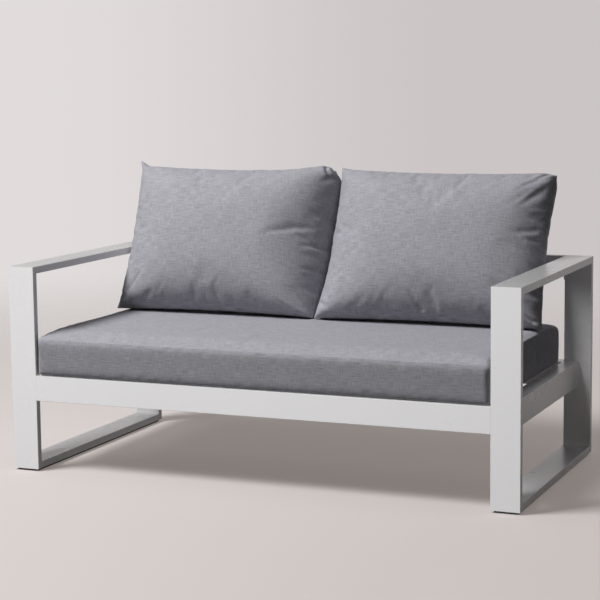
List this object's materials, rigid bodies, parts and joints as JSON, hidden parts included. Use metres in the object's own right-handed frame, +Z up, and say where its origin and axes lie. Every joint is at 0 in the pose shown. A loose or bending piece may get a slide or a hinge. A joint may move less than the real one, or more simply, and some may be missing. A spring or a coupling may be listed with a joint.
{
  "type": "patio loveseat",
  "caption": "Low patio loveseat: flat-tube aluminium sled side frames, slatted seat and post back, with one seat cushion and loose back cushions that lift off",
  "frame": {"origin": "On the floor, under the middle of the frame", "axes": "+X runs along the seat to the sitter's left hand, +Y points to the back, +Z points up"},
  "size_m": [1.5, 0.76, 0.834],
  "materials": {
    "aluminium_frame": "light grey powder coat, matt with a fine orange peel",
    "black_trim": "moulded black nylon, matt",
    "screws": "plain stainless steel, button heads",
    "cushion_fabric": "woven polyester, heathered mid grey",
    "cushion_filling": "open-cell foam and fibre filling"
  },
  "bodies": {
    "frame": {"arm_left": "aluminium_frame", "arm_right": "aluminium_frame", "back_post_1": "aluminium_frame", "back_post_2": "aluminium_frame", "back_post_3": "aluminium_frame", "back_post_4": "aluminium_frame", "back_post_5": "aluminium_frame", "back_post_6": "aluminium_frame", "back_post_caps": "black_trim", "back_post_screws": "screws", "back_top_rail": "aluminium_frame", "corner_plate_front_left": "aluminium_frame", "corner_plate_front_right": "aluminium_frame", "corner_plate_rear_left": "aluminium_frame", "corner_plate_rear_right": "aluminium_frame", "corner_plate_screws": "screws", "front_leg_left": "aluminium_frame", "front_leg_right": "aluminium_frame", "front_seat_rail": "aluminium_frame", "glide_strip_left": "black_trim", "glide_strip_right": "black_trim", "glide_strip_screws": "screws", "rail_cleat_left": "aluminium_frame", "rail_cleat_right": "aluminium_frame", "rail_cleat_screws": "screws", "rear_leg_left": "aluminium_frame", "rear_leg_right": "aluminium_frame", "rear_seat_rail": "aluminium_frame", "runner_left": "aluminium_frame", "runner_right": "aluminium_frame", "seat_ledge_front": "aluminium_frame", "seat_ledge_rear": "aluminium_frame", "seat_slat_1": "aluminium_frame", "seat_slat_2": "aluminium_frame", "seat_slat_3": "aluminium_frame", "seat_slat_4": "aluminium_frame", "seat_slat_5": "aluminium_frame", "seat_slat_6": "aluminium_frame", "seat_slat_7": "aluminium_frame", "seat_slat_8": "aluminium_frame", "seat_slat_screws": "screws", "side_rail_left": "aluminium_frame", "side_rail_right": "aluminium_frame", "top_rail_plugs": "black_trim"},
    "seat_cushion": {"seat_cushion_cover": "cushion_fabric", "seat_cushion_foam": "cushion_filling"},
    "back_cushion_left": {"back_cushion_cover_left": "cushion_fabric", "back_cushion_fill_left": "cushion_filling"},
    "back_cushion_right": {"back_cushion_cover_right": "cushion_fabric", "back_cushion_fill_right": "cushion_filling"}
  },
  "joints": [
    {"name": "seat_cushion_lift", "type": "slide", "parent": "frame", "child": "seat_cushion", "axis": [0, 0, 1], "range_m": [0, 0.35]},
    {"name": "back_cushion_left_lift", "type": "slide", "parent": "seat_cushion", "child": "back_cushion_left", "axis": [0, 0, 1], "range_m": [0, 0.35]},
    {"name": "back_cushion_right_lift", "type": "slide", "parent": "seat_cushion", "child": "back_cushion_right", "axis": [0, 0, 1], "range_m": [0, 0.35]}
  ]
}
